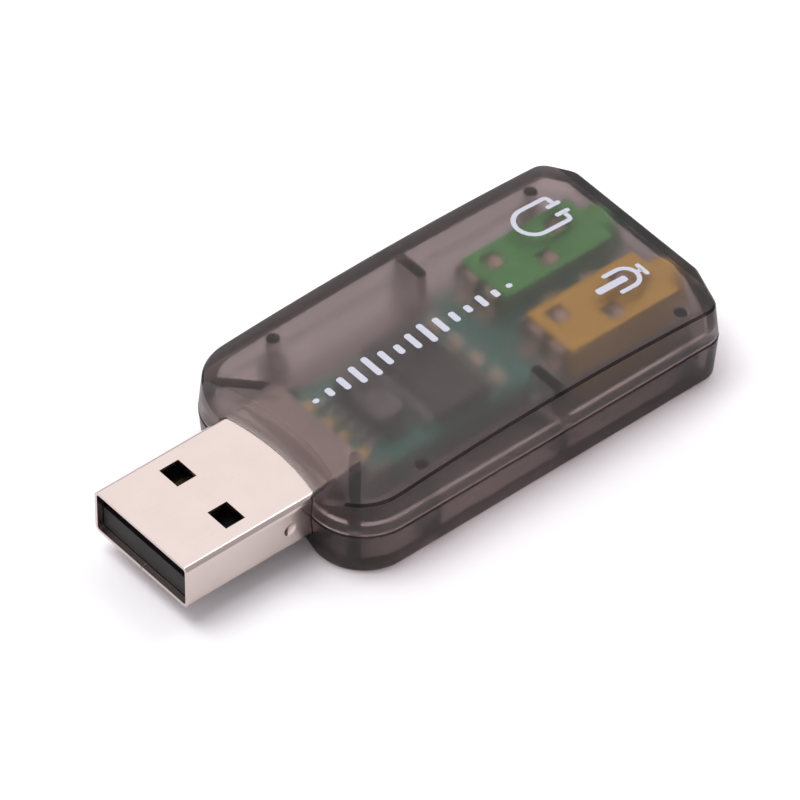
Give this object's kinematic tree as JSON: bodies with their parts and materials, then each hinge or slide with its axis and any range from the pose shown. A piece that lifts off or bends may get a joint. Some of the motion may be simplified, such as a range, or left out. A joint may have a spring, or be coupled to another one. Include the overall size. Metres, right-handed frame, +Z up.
{
  "type": "usb sound card",
  "caption": "Small stick-shaped USB sound card with a see-through smoke case, a USB plug at one end and green and amber audio sockets at the other.",
  "frame": {"origin": "under the middle of the overall length, on the flat underside", "axes": "+X from the USB plug towards the audio sockets, +Y to the headphone side, +Z up"},
  "size_m": [0.0544, 0.0236, 0.0086],
  "materials": {
    "case": "translucent smoke",
    "plug_metal": "nickelled",
    "plug_black": "moulded",
    "gold": "gold plated",
    "board": "lacquered board",
    "chip_black": "moulded",
    "tin": "tinned",
    "capacitor_tan": "fired",
    "socket_green": "moulded",
    "socket_amber": "moulded",
    "spring_brass": "tinned bronze"
  },
  "bodies": {
    "root": {"bottom_shell": "case", "capacitor_1": "capacitor_tan", "capacitor_2": "capacitor_tan", "capacitor_3": "capacitor_tan", "capacitor_4": "capacitor_tan", "capacitor_5": "capacitor_tan", "capacitor_6": "capacitor_tan", "chip_body": "chip_black", "chip_leads": "tin", "circuit_board": "board", "crystal_base": "tin", "crystal_can": "tin", "headphone_ring_spring": "spring_brass", "headphone_sleeve_spring": "spring_brass", "headphone_socket": "socket_green", "headphone_tip_spring": "spring_brass", "microphone_ring_spring": "spring_brass", "microphone_sleeve_spring": "spring_brass", "microphone_socket": "socket_amber", "microphone_tip_spring": "spring_brass", "plug_contact_data_minus": "gold", "plug_contact_data_plus": "gold", "plug_contact_ground": "gold", "plug_contact_power": "gold", "plug_insulator": "plug_black", "plug_shell": "plug_metal", "resistor_1": "chip_black", "resistor_2": "chip_black", "resistor_3": "chip_black", "top_shell": "case"}
  },
  "joints": []
}
